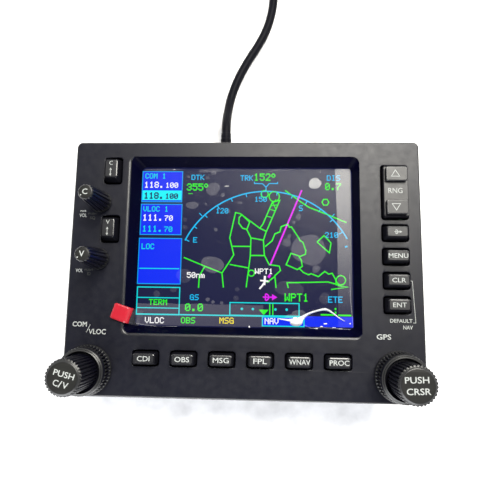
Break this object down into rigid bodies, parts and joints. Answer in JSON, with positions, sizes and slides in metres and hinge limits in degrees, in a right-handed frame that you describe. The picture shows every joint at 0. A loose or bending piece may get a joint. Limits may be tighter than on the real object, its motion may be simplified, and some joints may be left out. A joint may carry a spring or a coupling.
{
  "type": "aviation gps control head",
  "caption": "Panel-format GPS, radio and navigation control head with a lit map display, keys, dual concentric knobs and a trailing USB lead, lying on its back.",
  "frame": {"origin": "bottom centre of the unit lying on its back, under the middle of the bezel", "axes": "+X to the right of the face, +Y to the top of the face, +Z out of the face"},
  "size_m": [0.2067, 0.2949, 0.0713],
  "materials": {
    "bezel_plastic": "fine moulded texture",
    "housing_plastic": "fine moulded texture",
    "key_plastic": "satin",
    "knob_plastic": "satin",
    "screen_glass": "polished",
    "film": "clear thin film",
    "red_tab": "glossy adhesive film",
    "steel": "plain",
    "encoder_body": "plated",
    "board": "solder mask",
    "light_plastic": "natural",
    "chip": "moulded",
    "ribbon": "polyimide film",
    "cable_rubber": "soft satin"
  },
  "bodies": {
    "housing": {"front_bezel": "bezel_plastic", "rear_housing": "housing_plastic", "back_cover": "housing_plastic", "cover_screw_1": "steel", "cover_screw_2": "steel", "cover_screw_3": "steel", "cover_screw_4": "steel", "lcd_frame": "steel", "lcd_panel": "screen_glass", "backlight_unit": "light_plastic", "protective_film": "film", "film_pull_tab": "red_tab", "display_board": "board", "lcd_ribbon": "ribbon", "key_board": "board", "main_board": "board", "processor_chip": "chip", "usb_header": "light_plastic", "rocker_pin": "steel", "com_dual_encoder": "encoder_body", "gps_dual_encoder": "encoder_body", "com_encoder_nut": "steel", "gps_encoder_nut": "steel", "com_volume_encoder": "encoder_body", "nav_volume_encoder": "encoder_body", "cable_gland": "cable_rubber", "internal_lead": "cable_rubber", "usb_cable": "cable_rubber", "cable_coil": "cable_rubber", "cable_tail": "cable_rubber", "usb_plug": "cable_rubber"},
    "key_cdi": {"key_cdi": "key_plastic"},
    "key_obs": {"key_obs": "key_plastic"},
    "key_msg": {"key_msg": "key_plastic"},
    "key_fpl": {"key_fpl": "key_plastic"},
    "key_vnav": {"key_vnav": "key_plastic"},
    "key_proc": {"key_proc": "key_plastic"},
    "key_direct_to": {"key_direct_to": "key_plastic"},
    "key_menu": {"key_menu": "key_plastic"},
    "key_clear": {"key_clear": "key_plastic"},
    "key_enter": {"key_enter": "key_plastic"},
    "key_com_swap": {"key_com_swap": "key_plastic"},
    "key_nav_swap": {"key_nav_swap": "key_plastic"},
    "range_rocker": {"range_rocker": "key_plastic"},
    "com_outer_ring": {"com_outer_knob": "knob_plastic", "com_outer_shaft": "steel"},
    "com_push": {"com_push_plunger": "light_plastic"},
    "com_inner": {"com_inner_knob": "knob_plastic", "com_inner_shaft": "steel"},
    "gps_outer_ring": {"gps_outer_knob": "knob_plastic", "gps_outer_shaft": "steel"},
    "gps_push": {"gps_push_plunger": "light_plastic"},
    "gps_inner": {"gps_inner_knob": "knob_plastic", "gps_inner_shaft": "steel"},
    "com_volume_push": {"com_volume_push_plunger": "light_plastic"},
    "com_volume_turning": {"com_volume_knob": "knob_plastic", "com_volume_shaft": "steel"},
    "nav_volume_push": {"nav_volume_push_plunger": "light_plastic"},
    "nav_volume_turning": {"nav_volume_knob": "knob_plastic", "nav_volume_shaft": "steel"}
  },
  "joints": [
    {"name": "key_cdi_press", "type": "slide", "parent": "housing", "child": "key_cdi", "axis": [0, 0, -1], "range_m": [0, 0.0008], "stiffness_N_per_m": 1200},
    {"name": "key_obs_press", "type": "slide", "parent": "housing", "child": "key_obs", "axis": [0, 0, -1], "range_m": [0, 0.0008], "stiffness_N_per_m": 1200},
    {"name": "key_msg_press", "type": "slide", "parent": "housing", "child": "key_msg", "axis": [0, 0, -1], "range_m": [0, 0.0008], "stiffness_N_per_m": 1200},
    {"name": "key_fpl_press", "type": "slide", "parent": "housing", "child": "key_fpl", "axis": [0, 0, -1], "range_m": [0, 0.0008], "stiffness_N_per_m": 1200},
    {"name": "key_vnav_press", "type": "slide", "parent": "housing", "child": "key_vnav", "axis": [0, 0, -1], "range_m": [0, 0.0008], "stiffness_N_per_m": 1200},
    {"name": "key_proc_press", "type": "slide", "parent": "housing", "child": "key_proc", "axis": [0, 0, -1], "range_m": [0, 0.0008], "stiffness_N_per_m": 1200},
    {"name": "key_direct_to_press", "type": "slide", "parent": "housing", "child": "key_direct_to", "axis": [0, 0, -1], "range_m": [0, 0.0008], "stiffness_N_per_m": 1200},
    {"name": "key_menu_press", "type": "slide", "parent": "housing", "child": "key_menu", "axis": [0, 0, -1], "range_m": [0, 0.0008], "stiffness_N_per_m": 1200},
    {"name": "key_clear_press", "type": "slide", "parent": "housing", "child": "key_clear", "axis": [0, 0, -1], "range_m": [0, 0.0008], "stiffness_N_per_m": 1200},
    {"name": "key_enter_press", "type": "slide", "parent": "housing", "child": "key_enter", "axis": [0, 0, -1], "range_m": [0, 0.0008], "stiffness_N_per_m": 1200},
    {"name": "key_com_swap_press", "type": "slide", "parent": "housing", "child": "key_com_swap", "axis": [0, 0, -1], "range_m": [0, 0.0008], "stiffness_N_per_m": 1200},
    {"name": "key_nav_swap_press", "type": "slide", "parent": "housing", "child": "key_nav_swap", "axis": [0, 0, -1], "range_m": [0, 0.0008], "stiffness_N_per_m": 1200},
    {"name": "range_rocker_tilt", "type": "hinge", "parent": "housing", "child": "range_rocker", "pos_m": [0.0678, 0.0343, 0.0395], "axis": [1, 0, 0], "range_deg": [-2.5, 2.5], "stiffness_Nm_per_rad": 0.15},
    {"name": "com_outer_turn", "type": "hinge", "parent": "housing", "child": "com_outer_ring", "pos_m": [-0.0676, -0.0463, 0.05], "axis": [0, 0, 1], "continuous": true},
    {"name": "com_inner_push", "type": "slide", "parent": "housing", "child": "com_push", "axis": [0, 0, -1], "range_m": [0, 0.0006], "stiffness_N_per_m": 1500},
    {"name": "com_inner_turn", "type": "hinge", "parent": "com_push", "child": "com_inner", "pos_m": [-0.0676, -0.0463, 0.06], "axis": [0, 0, 1], "continuous": true},
    {"name": "gps_outer_turn", "type": "hinge", "parent": "housing", "child": "gps_outer_ring", "pos_m": [0.0676, -0.0463, 0.05], "axis": [0, 0, 1], "continuous": true},
    {"name": "gps_inner_push", "type": "slide", "parent": "housing", "child": "gps_push", "axis": [0, 0, -1], "range_m": [0, 0.0006], "stiffness_N_per_m": 1500},
    {"name": "gps_inner_turn", "type": "hinge", "parent": "gps_push", "child": "gps_inner", "pos_m": [0.0676, -0.0463, 0.06], "axis": [0, 0, 1], "continuous": true},
    {"name": "com_volume_push", "type": "slide", "parent": "housing", "child": "com_volume_push", "axis": [0, 0, -1], "range_m": [0, 0.0006], "stiffness_N_per_m": 1500},
    {"name": "com_volume_turn", "type": "hinge", "parent": "com_volume_push", "child": "com_volume_turning", "pos_m": [-0.066, 0.0289, 0.06], "axis": [0, 0, 1], "range_deg": [-150, 150]},
    {"name": "nav_volume_push", "type": "slide", "parent": "housing", "child": "nav_volume_push", "axis": [0, 0, -1], "range_m": [0, 0.0006], "stiffness_N_per_m": 1500},
    {"name": "nav_volume_turn", "type": "hinge", "parent": "nav_volume_push", "child": "nav_volume_turning", "pos_m": [-0.0657, 0.0026, 0.06], "axis": [0, 0, 1], "range_deg": [-150, 150]}
  ]
}
